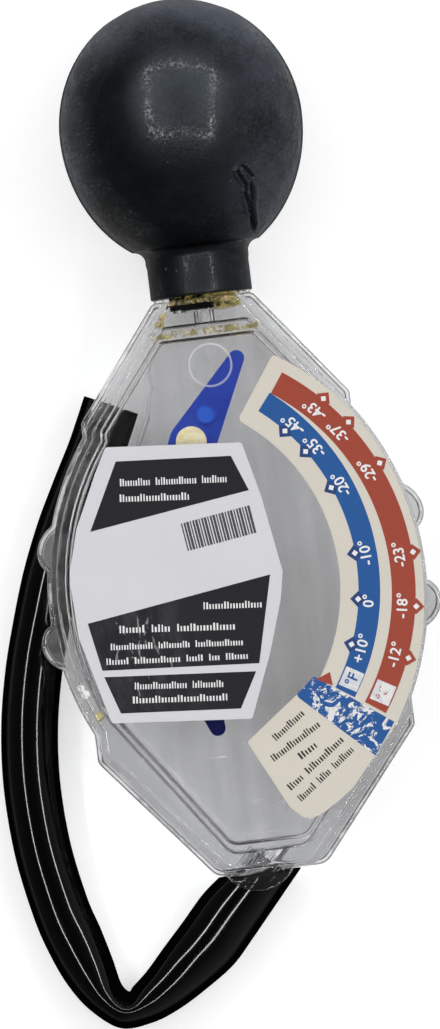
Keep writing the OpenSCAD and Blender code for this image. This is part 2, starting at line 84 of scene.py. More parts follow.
# Suction hose: black rubber, extruded and cut square. One end is stretched over the nozzle under the case,
# the other lies loose behind the flange, and the hose folds flat where it turns back.
hose_d, hose_r, hose_wall = 0.013, 6.5, 1.6
stretch_r, grip_long = 7.55, 12
fold_long, fold_flat = 0.9, 0.62
foot_tilt = radians(42.5)
foot = (-2.8, -79.3)
grip = (foot[0] - grip_long * sin(foot_tilt), foot[1] - grip_long * cos(foot_tilt))
hose_line = [
    (foot[0], foot[1] - 0.3, 0, 9.46, stretch_r), (grip[0], grip[1], 0, stretch_r, stretch_r),
    (-16.4, -94.1, 0, stretch_r, stretch_r), (-22, -98.8, 0.2, 6.8, 7.3), (-27.8, -103.3, 0.6, 5.7, 7.3),
    (-32.8, -106, 1, 4.7, 7.5), (-37, -106.7, 1.2, 4.3, 7.7), (-41, -103.2, 0.6, 4.7, 7.3),
    (-43.8, -97.4, -0.4, 5.9, 6.9)]
hose_line += [(u, v, z, hose_r, hose_r) for u, v, z in (
    (-46.4, -90, -1.5), (-48.8, -82, -2.4), (-51.2, -68.5, -3.8), (-51.9, -54, -5.3), (-50.9, -41, -6.7),
    (-48.6, -29, -8.1), (-45.6, -18.5, -9), (-41.9, -7.5, -9.1), (-37.6, 2.5, -9.1), (-32.9, 11.5, -9.1),
    (-28, 20.5, -9.1), (-23.5, 30, -9.1))]
kink = 6


class Field:
    """A socket of a material's node tree that takes part in Python expressions."""

    def __init__(self, socket):
        self.socket = socket

    def node(self, kind, settings=None, sockets=None, out=0):
        """Adds any shader node: its settings first, then the values or links of its sockets."""
        tree = self.socket.id_data
        made = tree.nodes.new("ShaderNode" + kind)
        for key, value in (settings or {}).items():
            if key == "stops":
                ramp = made.color_ramp.elements
                while len(ramp) < len(value):
                    ramp.new(0.5)
                for element, (place, colour) in zip(ramp, value):
                    element.position = place
                    element.color = colour if isinstance(colour, tuple) else (colour, colour, colour, 1)
            else:
                setattr(made, key, value)
        for key, value in (sockets or {}).items():
            if isinstance(value, Field):
                tree.links.new(value.socket, made.inputs[key])
            else:
                made.inputs[key].default_value = value
        return Field(made.outputs[out])

    def maths(self, operation, first, second):
        """Adds a Math node on two values."""
        return self.node("Math", {"operation": operation}, {0: first, 1: second})

    def __add__(self, other):
        return self.maths("ADD", self, other)

    __radd__ = __add__

    def __sub__(self, other):
        return self.maths("SUBTRACT", self, other)

    def __rsub__(self, other):
        return self.maths("SUBTRACT", other, self)

    def __mul__(self, other):
        return self.maths("MULTIPLY", self, other)

    __rmul__ = __mul__

    def grain(self, scale, detail=2.0, rough=0.5, twist=0.0):
        """Even noise at so many grains a metre."""
        return self.node("TexNoise", {}, {
            "Vector": self, "Scale": scale, "Detail": detail, "Roughness": rough, "Distortion": twist})

    def cells(self, scale):
        """Distance to the nearest of many scattered points."""
        return self.node("TexVoronoi", {"feature": "F1"}, {"Vector": self, "Scale": scale})

    def stretched(self, sizes, turn=0.0):
        """The same coordinates, turned about Z and stretched along the axes."""
        return self.node("Mapping", {"vector_type": "POINT"}, {
            "Vector": self, "Rotation": (0, 0, turn), "Scale": sizes})

    def apart(self, centre):
        """Distance from a point, seen from above."""
        off = self.node("VectorMath", {"operation": "SUBTRACT"}, {0: self, 1: tuple(centre)})
        flat = self.node("VectorMath", {"operation": "MULTIPLY"}, {0: off, 1: (1, 1, 0)})
        return self.node("VectorMath", {"operation": "LENGTH"}, {0: flat}, 1)

    def height(self, axis=2):
        """Place along an axis from the case's middle, in millimetres."""
        return self.node("SeparateXYZ", {}, {"Vector": self}, axis) * 1000 - datum[axis] * 1000

    def between(self, low, high):
        """0 below low, 1 above high, with a soft step."""
        return self.node("MapRange", {"interpolation_type": "SMOOTHSTEP"}, {
            "Value": self, "From Min": low, "From Max": high})

    def tint(self, low, high):
        """A mix of two colours by this value."""
        return self.node("Mix", {"data_type": "RGBA"}, {0: self, 6: low, 7: high}, 2)

    def mixed(self, low, high):
        """A mix of two shaders by this value."""
        return self.node("MixShader", {}, {0: self, 1: low, 2: high})

    def bumped(self, height, strength=1.0):
        """A normal pushed about by this height, in metres at full strength."""
        return self.node("Bump", {}, {"Strength": strength, "Distance": height, "Height": self})


def finish(name, **plain):
    """A new material: its shader with plain values set, and the piece's own coordinates."""
    material = bpy.data.materials.new(name)
    material.use_nodes = True
    shader = material.node_tree.nodes["Principled BSDF"]
    for key, value in plain.items():
        shader.inputs[key.replace("_", " ").title().replace("Ior", "IOR")].default_value = value
    where = Field(material.node_tree.nodes.new("ShaderNodeTexCoord").outputs["Object"])
    return material, shader, where


def feed(shader, **fields):
    """Links fields to a shader's sockets."""
    for key, field in fields.items():
        shader.id_data.links.new(field.socket, shader.inputs[key.replace("_", " ").title()])


def surface(material, field):
    """Makes this shader the one that the material shows."""
    material.node_tree.links.new(field.socket, material.node_tree.nodes["Material Output"].inputs["Surface"])


def piece(name, mesh, material, smooth=True):
    """A mesh as a new object of the scene, with its finish."""
    mesh.name = name
    mesh.materials.clear()
    mesh.materials.append(material)
    mesh.polygons.foreach_set("use_smooth", [smooth] * len(mesh.polygons))
    return placed(name, mesh)


def grid_mesh(rows, closed_ends=False):
    """A mesh from rings of points that close on themselves."""
    mesh = bpy.data.meshes.new("grid")
    count = len(rows[0])
    faces = [(k * count + i, k * count + (i + 1) % count, (k + 1) * count + (i + 1) % count, (k + 1) * count + i)
             for k in range(len(rows) - 1) for i in range(count)]
    if closed_ends:
        faces += [tuple(reversed(range(count))), tuple(range((len(rows) - 1) * count, len(rows) * count))]
    mesh.from_pydata([p for row in rows for p in row], [], faces)
    return mesh


def welded(mesh, gap=1e-7, outward=True):
    """The same mesh with its doubles merged and its faces turned outwards."""
    bm = bmesh.new()
    bm.from_mesh(mesh)
    bmesh.ops.remove_doubles(bm, verts=bm.verts, dist=gap)
    if outward:
        bmesh.ops.recalc_face_normals(bm, faces=bm.faces)
    bm.to_mesh(mesh)
    bm.free()
    return mesh


def flowing(values, t):
    """A smooth curve through a list of vectors, at place t of its length."""
    k = min(int(t), len(values) - 2)
    s = t - k
    a, b, c, d = (values[min(max(j, 0), len(values) - 1)] for j in (k - 1, k, k + 1, k + 2))
    return 0.5 * (2 * b + (c - a) * s + (2 * a - 5 * b + 4 * c - d) * s * s + (3 * b - a - 3 * c + d) * s ** 3)


middles = [Vector(p[:3]) for p in hose_line]
across, upright = [], []
for k, (*_, w, h) in enumerate(hose_line):
    ahead = (middles[min(k + 1, len(middles) - 1)] - middles[max(k - 1, 0)]).normalized()
    side = Vector((1, 0, 0)) if k == 0 else Vector((-ahead.y, ahead.x, 0)).normalized()
    up = Vector((0, 0, 1)) if k == 0 else ahead.cross(side)
    across.append(side * w)
    upright.append(up * h)

hose_sides, per_span = 40, 9
spans = (len(hose_line) - 1) * per_span
outer, inner, hose_path = [], [], []
for j in range(spans + 1):
    t = j / per_span
    centre, side, up = flowing(middles, t), flowing(across, t), flowing(upright, t)
    fold = exp(-((t - kink) / fold_long) ** 2)
    thin_side = side * (1 - hose_wall / side.length)
    thin_up = up * (1 - hose_wall / up.length)
    wall, bore = [], []
    for i in range(hose_sides):
        g = 2 * pi * i / hose_sides
        c, s = cos(g), sin(g)
        pinch = 1 - fold_flat * fold * max(0.0, -c) ** 1.5
        wall.append(at(*(centre + side * c + up * s * pinch)))
        bore.append(at(*(centre + thin_side * c + thin_up * s * pinch)))
    outer.append(wall)
    inner.append(bore)
    hose_path.append(at(*centre))
lip = [[a.lerp(b, f) for a, b in zip(outer[-1], inner[-1])] for f in (0.15, 0.85)]
heel = [[a.lerp(b, f) for a, b in zip(inner[0], outer[0])] for f in (0.15, 0.85)]
hose_mesh = welded(grid_mesh(outer + lip + inner[::-1] + heel + [outer[0]]))

hose_rubber, shader, where = finish("hose_rubber", specular_ior_level=0.4)
smear = where.grain(55, 4, 0.6)
dust = where.grain(900, 3, 0.7).between(0.62, 0.8) * smear.between(0.4, 0.75)
feed(shader,
     base_color=(dust * 0.5).tint((0.0006, 0.0006, 0.0007, 1), (0.03, 0.03, 0.031, 1)),
     roughness=0.06 + 0.05 * smear + 0.25 * dust,
     normal=(where.grain(90, 2) + 0.12 * where.grain(1300, 2)).bumped(0.0002, 0.12))
steep = where.node("LayerWeight", {}, {"Blend": 0.5}, 1).between(0.1, 0.45)
matt = where.node("BsdfDiffuse", {}, {"Color": (0.0012, 0.0012, 0.0013, 1)})
surface(hose_rubber, steep.mixed(Field(shader.outputs[0]), matt))
hose = piece("rubber_hose", hose_mesh, hose_rubber)
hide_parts("suction_hose")
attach(hose, "case")

# Clear case: two shells and a nozzle, moulded in clear styrene. The shells are bonded along the flange.
# Their edges are rounded as a mould leaves them, the faces carry faint scratches, and the bond is hazy.
case_half, flange_t, face_t, wall_t = 9.5, 2.0, 2.0, 1.8
mouth_w, case_top, shoulder_w, shoulder_y = 22.8, 51.5, 61.4, 26.5
hip_w, hip_y, foot_w, case_foot = 72.4, 50.5, 25.0, 79.3
side_r, side_reach, side_drop, side_steps = 65.6, 22.6, 15.0, 140
seam, step_z = 0.03, 4.3
ring_uv, ring_out, ring_in = (0, 36), 5.0, 4.3
boss_r, boss_low, boss_high = 3.6, 3.3, 8.0
pin_hole, pin_low, pin_high = 1.52, 3.0, 6.5
mouth_way, stem_hole, bore_r, nozzle_hole = (0, -1), 7.45, 2.4, 5.26
bay_start, bay_clear, bay_far, bay_throat = 14, 0.8, -61.4, 15.4
hood_v, hood_r, hood_cut = -74.3, 9.0, -77.5
pivot_uv = (-20.5, -13.0)


def lobes(v):
    """The two grip lobes of a side, as how far they stand out at this height of the case."""
    total = 0.0
    for middle, half, height in ((-0.9, 5.0, 2.5), (-23.3, 5.2, 3.1)):
        total += height * max(0.0, 1 - ((v - middle) / half) ** 2) ** 0.75
    return total


def meet(p, d, q, e):
    """Where two lines meet, each given by a point and a direction."""
    return p + d * (((q.x - p.x) * e.y - (q.y - p.y) * e.x) / (d.x * e.y - d.y * e.x))


def half_plan(top, slope, side, low, foot, bumps, skew=0.0):
    """Right half of the case's plan, from the mouth to the foot, with an inset for each edge.

    The low edge's inset grows by the skew from the foot up to the hip.
    """
    a, b = Vector((mouth_w / 2, case_top)), Vector((shoulder_w / 2, shoulder_y))
    i, j = Vector((hip_w / 2, -hip_y)), Vector((foot_w / 2, -case_foot))
    d, e = (b - a).normalized(), (i - j).normalized()
    p, q = a + slope * Vector((d.y, -d.x)), j + low * Vector((-e.y, e.x))
    e = (i - j + skew * Vector((-e.y, e.x))).normalized()
    upright = Vector((0, 1))
    shoulder, hip = meet(p, d, Vector((b.x - side, 0)), upright), meet(q, e, Vector((i.x - side, 0)), upright)
    r = side_r - side

    def leaves(start, way):
        f = start + Vector((side_reach, side_drop))
        return (start + way * ((f.dot(way) ** 2 - f.dot(f) + r * r) ** 0.5 - f.dot(way))).y

    def on_side(x):
        return (r * r - (x + side_reach) ** 2) ** 0.5

    square, low_square = shoulder.y > on_side(b.x - side) - side_drop, hip.y < -on_side(i.x - side) - side_drop
    y0 = on_side(b.x - side) - side_drop if square else leaves(p, d)
    y1 = -on_side(i.x - side) - side_drop if low_square else leaves(q, e)
    path = [(*meet(p, d, Vector((0, case_top - top)), Vector((1, 0))), 2.0)]
    path += [(*shoulder, 2.0)] if square else []
    for k in range(side_steps + 1):
        y = y0 + (y1 - y0) * k / side_steps
        path.append(((r * r - (y + side_drop) ** 2) ** 0.5 - side_reach + bumps * lobes(y), y, 0))
    path += [(*hip, 2.0)] if low_square else []
    return path + [(*meet(q, e, Vector((0, foot - case_foot)), Vector((1, 0))), 4.0)]


def rounded(path, steps=6):
    """A closed path of corners and radii, with the corners rounded."""
    out = []
    for k, (u, v, r) in enumerate(path):
        b = Vector((u, v))
        if not r:
            out.append(b)
            continue
        a, c = Vector(path[k - 1][:2]), Vector(path[(k + 1) % len(path)][:2])
        d, e = (a - b).normalized(), (c - b).normalized()
        half = d.angle(e) / 2
        near = min(r / tan(half), 0.45 * min((a - b).length, (c - b).length))
        o = b + (d + e).normalized() * near / cos(half)
        start, stop = (atan2(*(b + w * near - o).yx) for w in (d, e))
        turn = (stop - start + pi) % (2 * pi) - pi
        out += [o + near * tan(half) * Vector((cos(start + turn * s / steps), sin(start + turn * s / steps)))
                for s in range(steps + 1)]
    return out


def plan(right, left):
    """A closed plan of the case from its two halves, the left one mirrored."""
    return rounded(right + [(-u, v, r) for u, v, r in reversed(left)])


def inset(path, d):
    """A clockwise closed path moved inwards. Edges that are used up on the way shrink to a point."""
    count, moved = len(path), []
    ways = [path[(k + 1) % count] - path[k] for k in range(count)]
    for k, p in enumerate(path):
        before, after = ways[k - 1].normalized(), ways[k].normalized()
        way = (Vector((before.y, -before.x)) + Vector((after.y, -after.x))).normalized()
        moved.append(p + way * d / max(0.3, way.dot(Vector((before.y, -before.x)))))
    out, used, more = list(moved), set(), True
    while more:
        more = {k for k in range(count) if (out[(k + 1) % count] - out[k]).dot(ways[k]) < 0} - used
        used |= more
        for k in (k for k in used if k - 1 not in used and k - 1 + count not in used):
            last = k
            while (last + 1) % count in used:
                last += 1
            point = meet(moved[k - 1], ways[k - 1], moved[(last + 1) % count], ways[(last + 1) % count])
            for j in range(k, last + 2):
                out[j % count] = point
    return out


def loft(path, rings):
    """A closed block through copies of a plan, each given by how far it is drawn in and its height."""
    rows = [[at(p.x, p.y, z) for p in (inset(path, d) if d else path)] for d, z in rings]
    return welded(grid_mesh(rows, closed_ends=True), gap=1e-8)


def prism(path, low, high, edge=0.0, low_edge=0.0):
    """A closed block with this plan between two heights, its upper and lower edges rounded."""
    rings = []
    for r, z, way in ((low_edge, low, 1), (edge, high, -1)):
        turns = [t * pi / 8 for t in range(5)] if r else [pi / 2]
        bends = [(r * (1 - sin(t)), z + way * r * (1 - cos(t))) for t in turns]
        rings += bends if way > 0 else bends[::-1]
    return loft(path, rings)


def disc(centre, r, count=64):
    """A round plan, clockwise from its top."""
    return [Vector((centre[0] + r * sin(2 * pi * k / count), centre[1] + r * cos(2 * pi * k / count)))
            for k in range(count)]


def turned(start, way, profile, count=64):
    """Rings round a line in the case's plane, each given by its place along the line and its radius."""
    along, over = Vector((*way, 0)), Vector((-way[1], way[0], 0))
    return [[at(*(Vector((*start, 0)) + along * d + r * (over * cos(g) + Vector((0, 0, 1)) * sin(g))))
             for g in (2 * pi * k / count for k in range(count))] for d, r in profile]


def rod(start, way, r, length):
    """A round bar lying in the case's plane, from a point along a direction."""
    return welded(grid_mesh(turned(start, Vector(way).normalized(), ((0, r), (length, r))), closed_ends=True))


def taken(made):
    """The mesh that an object shows with its modifiers. The object itself goes."""
    mesh = bpy.data.meshes.new_from_object(made.evaluated_get(bpy.context.evaluated_depsgraph_get()))
    bpy.data.objects.remove(made)
    return mesh


def carved(base, *cuts):
    """A block with others added to it or cut from it, in order."""
    body, tools = placed("body", base), []
    for operation, mesh in cuts:
        tools.append(placed("tool", mesh))
        step = body.modifiers.new("carve", "BOOLEAN")
        step.operation, step.solver, step.object = operation, "EXACT", tools[-1]
    done = taken(body)
    for tool in tools:
        bpy.data.objects.remove(tool)
    return done


def weighted(mesh):
    """The same mesh with normals that keep its flats flat and its rounded edges smooth."""
    mesh.polygons.foreach_set("use_smooth", [True] * len(mesh.polygons))
    mesh.set_sharp_from_angle(angle=radians(38))
    body = placed("body", mesh)
    step = body.modifiers.new("normals", "WEIGHTED_NORMAL")
    step.keep_sharp, step.weight = True, 100
    return taken(body)


def face_plan(out, top):
    """Plan of the raised face, or of the low step that stands so far out round it."""
    slope, low = 3.2 - out, 1.6 - out
    return plan(half_plan(top, slope, max(0.2, 0.8 - out), slope, low, 0),
                half_plan(top, slope, max(0.2, 2.2 - out), slope, low, 0))


outline_half = half_plan(0, 0, 0, 0, 0, 1)
outline = plan(outline_half, outline_half)
wide = plan(half_plan(5.6, 4.6, 2.6, 5.8, 4.6, 0), half_plan(5.6, 4.6, 4.0, 5.6, 4.6, 0, 2.6))
deep = plan(half_plan(8.8, 5.8, 3.6, 7.0, 6.7, 0), half_plan(8.8, 5.8, 5.0, 7.1, 6.7, 0, 2.6))
nozzle_way = (-sin(foot_tilt), -cos(foot_tilt))


def up_from_foot(far):
    """A point on the nozzle's line, so far up from the foot into the chamber."""
    return foot[0] - far * nozzle_way[0], foot[1] - far * nozzle_way[1]


def openings():
    """Ways through both shells: the bulb's socket and bore at the mouth, the nozzle's at the foot."""
    bars = (((0, 53), mouth_way, stem_hole, 4.5), ((0, 49), mouth_way, bore_r, 8.0),
            (up_from_foot(3.6), nozzle_way, nozzle_hole, 8.9), (up_from_foot(12.4), nozzle_way, bore_r, 9.0))
    return [("DIFFERENCE", rod(*bar)) for bar in bars]


raised_rim = [(0, seam), (0, 2.2), (0.1, 2.5), (0.35, 2.74), (0.65, 2.8), (0.95, 2.72), (1.2, 2.45), (1.35, flange_t)]
hood = [p for p in disc((foot[0], hood_v), hood_r) if p.y < hood_cut]
front = carved(
    loft(outline, raised_rim),
    ("UNION", prism(face_plan(1.3, 0.1), 0.5, 4.4, edge=0.35)),
    ("UNION", prism(face_plan(0, 0.2), 0.6, case_half, edge=0.7)),
    ("UNION", prism(hood, 8.1, case_half - 0.01, edge=0.4)),
    ("UNION", prism(disc(ring_uv, ring_out), 9.0, 9.8, edge=0.12)),
    ("DIFFERENCE", prism(disc(ring_uv, ring_in), case_half + 0.01, 10.5)),
    ("DIFFERENCE", prism(wide, -1, step_z, edge=0.9)),
    ("DIFFERENCE", prism(deep, -1, case_half - face_t, edge=1.3)),
    ("UNION", prism(disc(pivot_uv, boss_r), boss_low, boss_high)),
    ("DIFFERENCE", prism(disc(pivot_uv, pin_hole), pin_low, pin_high)),
    *openings())


def bay(out):
    """Plan of the place behind the flange where the hose lies."""
    way = [Vector(p[:2]) for p in hose_line[bay_start:]]
    edge = []
    for k, p in enumerate(way):
        d = (way[min(k + 1, len(way) - 1)] - way[max(k - 1, 0)]).normalized()
        edge.append(p + (hose_r + bay_clear + out) * Vector((d.y, -d.x)))
    top = edge[-1]
    throat = max(top.x, out - bay_throat)
    return [Vector((bay_far, -hip_y)), edge[0] - Vector((hose_r, 2 * hose_r))] + edge + [
        Vector((throat, top.y + hose_r)), Vector((throat, case_top + 1)), Vector((bay_far, case_top + 1))]


raised = carved(prism(face_plan(0, 0.2), -case_half, -0.6, low_edge=0.7),
                ("DIFFERENCE", prism(bay(0), -12, -flange_t + 0.01)))
leaning_wall = [(0.9, -12), (0.9, -7.5), (0.5, -7.4), (0.2, -7.1), (0, -6.6), (-0.8, -2.2), (-0.8, 3)]
hollow = carved(prism(deep, face_t - case_half, 1, low_edge=1.3), ("UNION", prism(wide, -step_z, 1.1, low_edge=0.9)),
                ("DIFFERENCE", loft(bay(wall_t), leaning_wall)))
back = carved(
    prism(outline, -flange_t, -seam, low_edge=0.35),
    ("UNION", raised),
    ("DIFFERENCE", hollow),
    ("UNION", prism(disc(pivot_uv, boss_r), -boss_high, -boss_low)),
    ("DIFFERENCE", prism(disc(pivot_uv, pin_hole), -pin_high, -pin_low)),
    *openings())

nozzle = welded(grid_mesh(turned(foot, nozzle_way, (
    (-3.5, 5.1), (-3.3, 5.3), (11.9, 5.3), (12.0, 5.55), (12.2, 5.6), (14.8, 5.3), (15.0, 5.1), (15.0, 3.6),
    (14.9, 3.5), (-3.4, 3.5), (-3.5, 3.6), (-3.5, 5.1)))))

clear_styrene, shader, where = finish("clear_styrene", transmission_weight=1.0, ior=1.5)
scratch = where.stretched((30, 900, 30), 0.6).grain(3, 3, 0.6).between(0.66, 0.74)
smudge = where.grain(45, 4, 0.6).between(0.45, 0.7)
streak = where.stretched((150, 14, 30)).grain(1, 4, 0.6).between(0.35, 0.7)
level = where.height()
at_flange = level.between(6, 3) * level.between(-6, -3)
# Painted light: the flange is painted lighter towards the mouth and darker towards the foot, as if lit from above.
flange_painted_light = where.height(1).between(-62, 10).tint((0.61, 0.61, 0.615, 1), (0.79, 0.79, 0.792, 1))
faces = (0.45 * smudge + 0.55 * streak).tint((0.70, 0.699, 0.703, 1), (0.605, 0.603, 0.607, 1))
feed(shader,
     base_color=at_flange.tint(faces, flange_painted_light),
     roughness=0.02 + 0.04 * smudge + 0.08 * scratch,
     normal=(where.grain(110, 2) + 0.04 * scratch).bumped(0.0002, 0.12))
ring_off = where.apart(at(*ring_uv))
moulded = ring_off.between(0.00445, 0.0046) * ring_off.between(0.00515, 0.005) * level.between(9.4, 9.6)
# Painted highlights: broken lines along the crests of the rim bead are frosted white where the moulded edges catch
# the light.
crest = level.between(2.66, 2.74) * level.between(2.9, 2.85) + level.between(2.02, 2.06) * level.between(2.4, 2.3)
rim_painted_highlight = crest * where.grain(120, 3, 0.6).between(0.36, 0.58)
# Painted glint: two small spots low on the left of the front face are frosted white as a highlight.
glint_off, glint_below_off = where.apart(at(-37.9, -33.0)), where.apart(at(-37.0, -34.6))
painted_glint = glint_off.between(0.0011, 0.0006) + glint_below_off.between(0.0014, 0.0007)
painted_glint *= where.grain(900, 3, 0.6).between(0.38, 0.46)
haze = where.grain(70, 5, 0.65).between(0.42, 0.8)
bond = level.between(2.7, 2.3) * level.between(0, 0.02) * where.grain(170, 4, 0.65).between(0.32, 0.62)
frost = where.node("BsdfDiffuse", {}, {"Color": (0.9, 0.9, 0.9, 1)})
frosted = (0.002 + 0.3 * moulded + 0.55 * rim_painted_highlight + 0.9 * painted_glint * level.between(1.5, 1.9)
           + 0.009 * haze + 0.015 * scratch * haze + 0.11 * bond)
dull = frosted.mixed(Field(shader.outputs[0]), frost)
shadow_ray = Field(clear_styrene.node_tree.nodes.new("ShaderNodeLightPath").outputs["Is Shadow Ray"])
see_through = where.node("BsdfTransparent", {}, {"Color": (0.84, 0.85, 0.86, 1)})
surface(clear_styrene, shadow_ray.mixed(dull, see_through))
for node, mesh in (("front_shell", front), ("back_shell", back), ("hose_nozzle", nozzle)):
    shell = piece("clear_" + node, weighted(mesh), clear_styrene)
    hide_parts(node)
    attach(shell, "case")

# Squeeze bulb: hollow black rubber, moulded in two halves, with a collar that is glued into the case's mouth.
# It has a thin parting ridge round its sides, dust and scuffs, and a torn nick low on its right.
bulb_r, long_r, low_r, wall = 27.25, 29.0, 31.8, 2.8
collar_r, blend, rise = 11.6, 2.4, 39.2
stem_r, stem_bore, stem_drop = 7.5, 4.5, 2.4
ridge_t, tear_uv, slit_top, slit_long = 0.42, (12.9, 76), 75.4, 10.2
tear_half, tear_low, tear_high, upper_side = 0.0045, -0.0125, 0.0052, 0.2
arc_steps, blend_steps, collar_steps, bore_steps = 120, 12, 10, 40
bulb_v = case_top + rise
shoulder = asin((collar_r + blend) / bulb_r)
profile = []
for k in range(arc_steps + 1):
    t = (pi - shoulder) * k / arc_steps
    profile.append((bulb_r * sin(t), (long_r if t < pi / 2 else low_r) * cos(t)))
low = -low_r * cos(shoulder) - blend
for k in range(1, blend_steps + 1):
    t = pi / 2 * k / blend_steps
    profile.append((collar_r + blend * (1 - sin(t)), low + blend * cos(t)))
ridged = len(profile) + 1
seat = 0.6 - rise
profile += [(collar_r, low + (seat - low) * k / collar_steps) for k in range(1, collar_steps)]
profile += [(collar_r, seat + 0.25), (collar_r - 0.08, seat + 0.08), (collar_r - 0.25, seat), (stem_r, seat),
            (stem_r, -rise - stem_drop), (stem_bore, -rise - stem_drop)]
bore_turn = pi - asin((stem_bore + wall) / (bulb_r - wall))
for k in range(bore_steps, -1, -1):
    t = bore_turn * k / bore_steps
    profile.append(((bulb_r - wall) * sin(t), ((long_r if t < pi / 2 else low_r) - wall) * cos(t)))
profile[0] = (0.02, profile[0][1])
profile[-1] = (0.02, profile[-1][1])

turns = [radians(2 * k) for k in range(180) if min(k % 90, 90 - k % 90) > 2]
turns += [radians(half + 0.45 * k) for half in (0, 180) for k in range(-10, 11)]
turns.sort()
bulb_rows = []
for n, (r, y) in enumerate(profile):
    row = []
    for t in turns:
        ridge = 0.0
        if r > 3 and n < ridged:
            off = abs(sin(t)) * r / ridge_t
            ridge = ridge_t * exp(-off * off) * min(1.0, max(0.0, (r - 10) / 4)) if off < 4 else 0.0
        row.append(at((r + ridge) * cos(t), bulb_v + y, (r + ridge) * sin(t)))
    bulb_rows.append(row)
bulb_mesh = welded(grid_mesh(bulb_rows, closed_ends=True))


def tear_height(u, v):
    """How far the torn rubber stands out of the bulb, or the slit goes in, in millimetres."""
    along = (slit_top - v) / slit_long
    height = 0.0
    if -0.2 < along < 1.15:
        middle = 14.1 - 0.85 * along + 0.12 * sin(9 * along)
        off = u - middle
        ends = min(1.0, max(0.0, along + 0.05) * 6) * min(1.0, max(0.0, 1.06 - along) * 5)
        height -= 1.5 * ends * exp(-(off / 0.42) ** 4)
        height += 0.5 * ends * exp(-((off - 0.85) / 0.42) ** 2)
    ragged = [(11.4, 78.2), (12.1, 76.6), (13.0, 75.1), (12.5, 73.2), (13.1, 70.9), (12.9, 69.4)]
    nearest = 9.0
    for (u0, v0), (u1, v1) in zip(ragged, ragged[1:]):
        s = min(1, max(0, ((u - u0) * (u1 - u0) + (v - v0) * (v1 - v0)) / ((u1 - u0) ** 2 + (v1 - v0) ** 2)))
        nearest = min(nearest, hypot(u - u0 - s * (u1 - u0), v - v0 - s * (v1 - v0)))
    height += 0.7 * exp(-((nearest - 0.7) / 0.35) ** 2) * (0.7 + 0.6 * noise(Vector((u * 1.3, v * 1.3, 0.4))))
    height -= 0.9 * exp(-(nearest / 0.3) ** 4)
    stroke = abs((u - 12.84) * 2.51 + (v - 79.28) * 1.75) / 3.06
    if 12.4 < u < 14.9 and 76.4 < v < 79.6:
        height += 0.5 * exp(-((stroke - 0.6) / 0.3) ** 2) - 0.8 * exp(-(stroke / 0.28) ** 4)
    return height


def by_the_tear(face):
    """Whether a face of the bulb is one that the tear reaches."""
    off = face.calc_center_median() - at(*tear_uv)
    return face.normal.z > upper_side and abs(off.x) < tear_half and tear_low < off.y < tear_high


bm = bmesh.new()
bm.from_mesh(bulb_mesh)
near = [f for f in bm.faces if by_the_tear(f)]
bmesh.ops.subdivide_edges(bm, edges=list({e for f in near for e in f.edges}), cuts=3, use_grid_fill=True)
bm.normal_update()
shift = {}
for vert in bm.verts:
    place = (vert.co - datum) * 1000
    if vert.normal.z > upper_side and 8 < place.x < 18 and 62 < place.y < 82:
        shift[vert] = vert.normal * tear_height(place.x, place.y) / 1000
for vert, move in shift.items():
    vert.co += move
bm.to_mesh(bulb_mesh)
bm.free()

bulb_rubber, shader, where = finish("bulb_rubber", specular_ior_level=0.27, specular_tint=(0.86, 0.94, 1, 1),
                                    coat_roughness=0.18, coat_ior=1.4)
cloud = where.grain(38, 5, 0.62)
speck = where.cells(330).between(0.13, 0.07) * where.grain(70, 2).between(0.55, 0.66)
rub = where.stretched((60, 90, 60), 0.35).grain(3, 5, 0.7).between(0.5, 0.8)
fine = where.grain(1500, 3, 0.6)
# Painted light: the right side and top of the bulb are painted lighter as if lit from there, and the left rim lighter
# as a painted sheen.
painted_light_and_sheen = where.height(0).between(2, 24) + where.height(1).between(101, 117) + where.height(0).between(-20, -27)
# Painted sheen: a soft lighter patch near the top of the bulb, round the reflection of the lamps.
painted_ring_sheen = where.apart(at(0, 97)).between(0.013, 0.006)
# This dust shade sums real dust, scuffs and specks with the painted light and the painted sheen.
dust = (0.04 * cloud.between(0.35, 0.75) + 0.1 * rub + 0.9 * speck
        + (1.15 * painted_light_and_sheen + 0.65 * painted_ring_sheen) * (cloud + 0.3 * fine).between(0.35, 0.95))
skin = dust.tint((0.0005, 0.0007, 0.0011, 1), (0.053, 0.062, 0.078, 1))
feed(shader,
     base_color=skin,
     roughness=0.36 + 0.1 * cloud,
     coat_weight=0.03 + fine.between(0.42, 0.66) * where.grain(170, 3, 0.6).between(0.36, 0.64),
     normal=(0.8 * fine + cloud + 0.3 * rub).bumped(0.00022, 0.3))
steep = 0.7 * where.node("LayerWeight", {}, {"Blend": 0.5}, 1).between(0.06, 0.3)
matt = where.node("BsdfPrincipled", {}, {"Base Color": skin, "Roughness": 1.0, "Specular IOR Level": 0.0})
surface(bulb_rubber, steep.mixed(Field(shader.outputs[0]), matt))
bulb = piece("rubber_bulb", bulb_mesh, bulb_rubber)
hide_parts("squeeze_bulb")
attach(bulb, "case")

# Cement: amber glue round the bulb's stem, poured into the mouth and cured glossy.
# Some has seeped along the lip and the shoulder of the chamber, and one drop has set on the flange.
def dress(node, material):
    """Gives a CAD node its finish."""
    slots = frame["nodes"][node].data.materials
    slots.clear()
    slots.append(material)


amber, shader, where = finish("amber_cement", transmission_weight=0.4, ior=1.48, coat_weight=0.4)
pool = where.grain(260, 3, 0.6)
drop_at = (-34.6, -39.9)
drop_with_painted_glint = where.apart(at(*drop_at)).between(0.003, 0.002)
cured = pool.between(0.35, 0.65).tint((0.22, 0.19, 0.012, 1), (0.62, 0.47, 0.15, 1))
